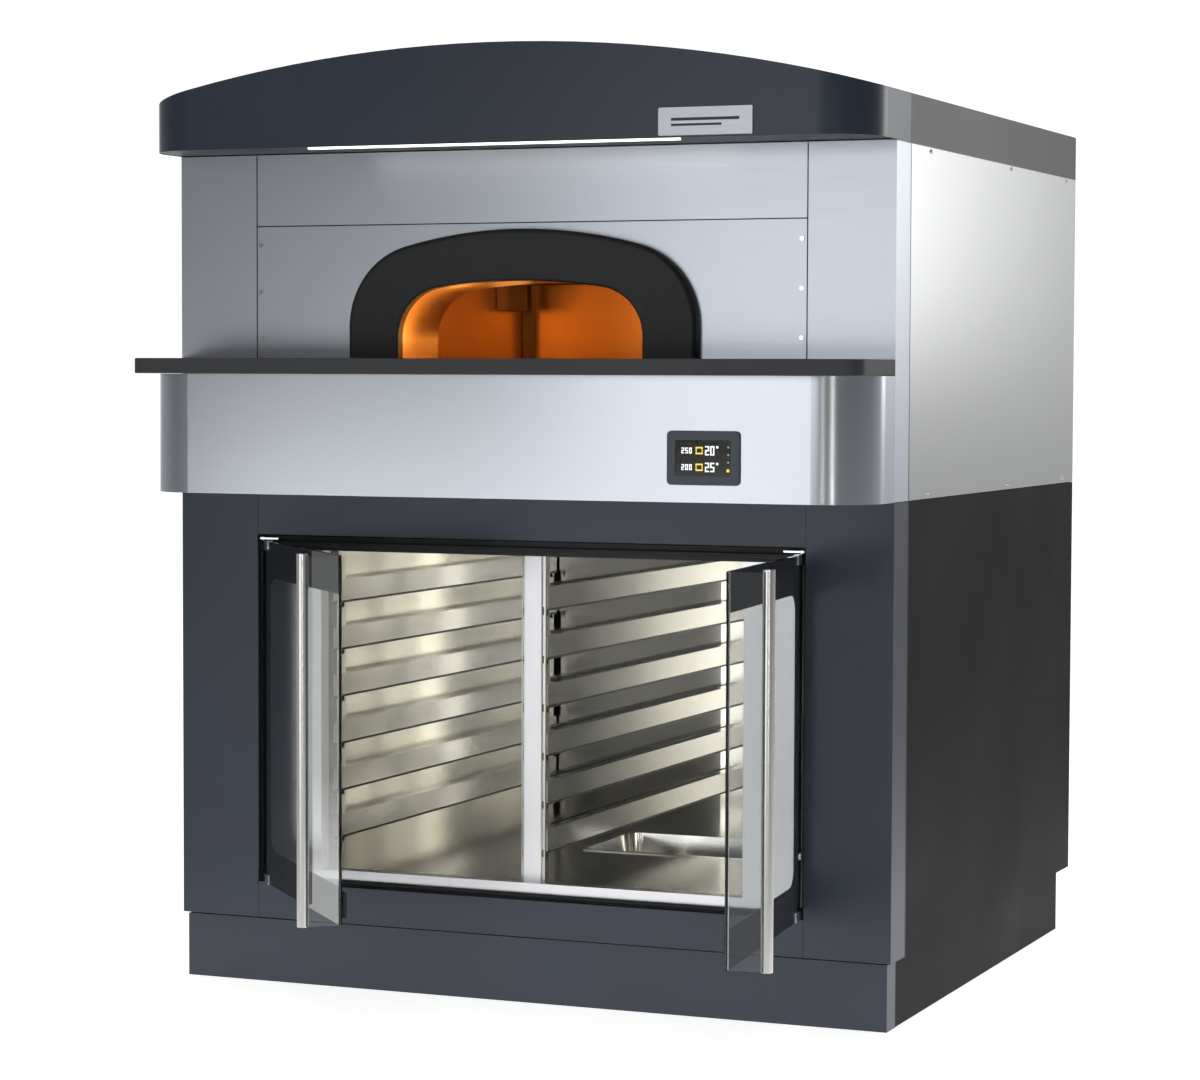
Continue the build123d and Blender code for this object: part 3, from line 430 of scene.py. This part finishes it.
def floor_material():
    """A pale, dull floor with the glow that FLOOR_FADES describes."""
    look = Looks("studio_floor", (0.93, 0.93, 0.93), roughness=0.75)
    look.tint(look.noise(4, 3), (0.91, 0.91, 0.91), (0.95, 0.95, 0.95))
    look.put("Specular IOR Level", 0.1)
    look.put("Emission Color", (1, 1, 1, 1))
    place = look.node("ShaderNodeTexCoord")
    level = None
    for direction, start, end, low, high in FLOOR_FADES:
        along = look.node("ShaderNodeVectorMath", operation="DOT_PRODUCT")
        along.inputs[1].default_value = direction
        look.link(place.outputs["Object"], along.inputs[0])
        fade = look.span(along.outputs["Value"], low, high, start, end)
        if level is None:
            level = fade
            continue
        product = look.node("ShaderNodeMath", operation="MULTIPLY")
        look.link(level, product.inputs[0])
        look.link(fade, product.inputs[1])
        level = product.outputs["Value"]
    look.link(level, look.shader.inputs["Emission Strength"])
    return look.mat


bpy.ops.mesh.primitive_plane_add(size=60, location=(0, 0, 0))
floor = bpy.context.object
floor.name = "studio_floor"
floor.data.materials.append(floor_material())

# ---------------------------------------------------------------- backdrop
# The studio is white behind the object and dim elsewhere. Each stop is a compass angle in
# degrees, 0 to the rear and 90 to the right, with the brightness seen there.
BACKDROP = ((-180, 0.20), (-150, 0.16), (-120, 0.10), (-60, 0.42), (-42, 1.1), (-9, 1.1),
            (5, 0.55), (40, 0.38), (75, 0.07), (125, 0.05), (165, 0.08), (180, 0.20))


def backdrop():
    """A world whose brightness depends on the compass direction alone."""
    world = bpy.data.worlds.new("studio")
    world.use_nodes = True
    tree = world.node_tree
    coord = tree.nodes.new("ShaderNodeTexCoord")
    split = tree.nodes.new("ShaderNodeSeparateXYZ")
    tree.links.new(coord.outputs["Generated"], split.inputs["Vector"])
    compass = tree.nodes.new("ShaderNodeMath")
    compass.operation = "ARCTAN2"
    tree.links.new(split.outputs["X"], compass.inputs[0])
    tree.links.new(split.outputs["Y"], compass.inputs[1])
    share = tree.nodes.new("ShaderNodeMapRange")
    share.inputs["From Min"].default_value = -math.pi
    share.inputs["From Max"].default_value = math.pi
    tree.links.new(compass.outputs["Value"], share.inputs["Value"])
    ramp = tree.nodes.new("ShaderNodeValToRGB")
    tree.links.new(share.outputs["Result"], ramp.inputs["Fac"])
    stops = ramp.color_ramp.elements
    for angle, _ in BACKDROP[1:-1]:
        stops.new((angle + 180) / 360)
    for stop, (angle, level) in zip(stops, BACKDROP):
        stop.color = (level * 0.97, level * 0.985, level, 1)
    background = tree.nodes["Background"]
    tree.links.new(ramp.outputs["Color"], background.inputs["Color"])
    background.inputs["Strength"].default_value = 1.0
    return world


scene.world = backdrop()


# ---------------------------------------------------------------- lights
def softbox(name, at, aim, width, height, radiance, color=(1, 1, 1)):
    """A rectangular light of a given brightness, aimed at a point."""
    data = bpy.data.lights.new(name, "AREA")
    data.shape = "RECTANGLE"
    data.size = width
    data.size_y = height
    data.energy = radiance * math.pi * width * height
    data.color = color
    made = bpy.data.objects.new(name, data)
    scene.collection.objects.link(made)
    made.location = at
    made.rotation_mode = "QUATERNION"
    made.rotation_quaternion = (Vector(aim) - Vector(at)).to_track_quat("-Z", "Y")


def ember(name, at, watts, size):
    """A small warm lamp in the oven."""
    data = bpy.data.lights.new(name, "POINT")
    data.energy = watts
    data.color = (1.0, 0.45, 0.12)
    data.shadow_soft_size = size
    made = bpy.data.objects.new(name, data)
    scene.collection.objects.link(made)
    made.location = at


COOL = (0.92, 0.96, 1.0)
WARM = (1.0, 0.97, 0.88)
softbox("front_bright", (-0.60, -4.7, 1.66), (0, -0.6, 1.3), 1.8, 1.2, 1.62, COOL)
softbox("front_low", (-1.60, -4.7, 0.42), (-0.5, -0.6, 0.5), 2.3, 0.84, 1.65)
softbox("overhead", (0.6, -0.6, 4.6), (0, 0.2, 0), 4.0, 3.6, 1.3)
softbox("viewer_right", (3.3, -6.6, 0.40), (0, 0, 0.5), 0.45, 0.7, 10.0, WARM)
softbox("viewer_left", (1.2, -6.8, 0.40), (0, 0, 0.5), 0.25, 0.7, 8.0, WARM)
softbox("side_glow", (2.45, 2.6, 1.90), (0.7, -0.3, 1.3), 1.0, 1.4, 3.7)


def bay_strip(name, x, y, width, radiance):
    """An upright strip inside a tray bay, turned to the rear wall."""
    middle, height = 0.51, 0.56
    softbox(name, (x, y, middle), (x, 1, middle), width, height, radiance, WARM)


bay_strip("left_bay_deep", -0.065, 0.31, 0.055, 2.5)
bay_strip("left_bay_near", -0.050, -0.20, 0.040, 1.0)
bay_strip("right_bay", 0.365, -0.30, 0.130, 3.3)

ember("oven_glow", (-0.32, 0.05, 1.275), 0.60, 0.04)
ember("oven_glow_mouth", (0.06, 0.10, 1.25), 0.45, 0.04)
ember("tunnel_glow", (-0.155, -0.54, 1.22), 0.45, 0.02)

# ---------------------------------------------------------------- camera
CAMERA_PLACE = (2.3727, -5.9731, 1.1428)
CAMERA_AZIMUTH = math.radians(22.51)    # from straight on, to the right
CAMERA_PITCH = math.radians(2.935)      # downwards
CAMERA_ROLL = math.radians(-0.195)
CAMERA_LENS = 97.56
CAMERA_SENSOR = 36.0

camera_data = bpy.data.cameras.new("camera")
camera_data.lens = CAMERA_LENS
camera_data.sensor_width = CAMERA_SENSOR
camera_data.clip_end = 100
camera = bpy.data.objects.new("camera", camera_data)
scene.collection.objects.link(camera)
camera.location = CAMERA_PLACE
look_dir = Vector((-math.sin(CAMERA_AZIMUTH) * math.cos(CAMERA_PITCH),
                   math.cos(CAMERA_AZIMUTH) * math.cos(CAMERA_PITCH),
                   -math.sin(CAMERA_PITCH)))
roll = Matrix.Rotation(CAMERA_ROLL, 4, look_dir).to_quaternion()
camera.rotation_mode = "QUATERNION"
camera.rotation_quaternion = roll @ look_dir.to_track_quat("-Z", "Y")
scene.camera = camera

scene.view_settings.view_transform = "Standard"
scene.view_settings.look = "None"
scene.view_settings.exposure = 0.0
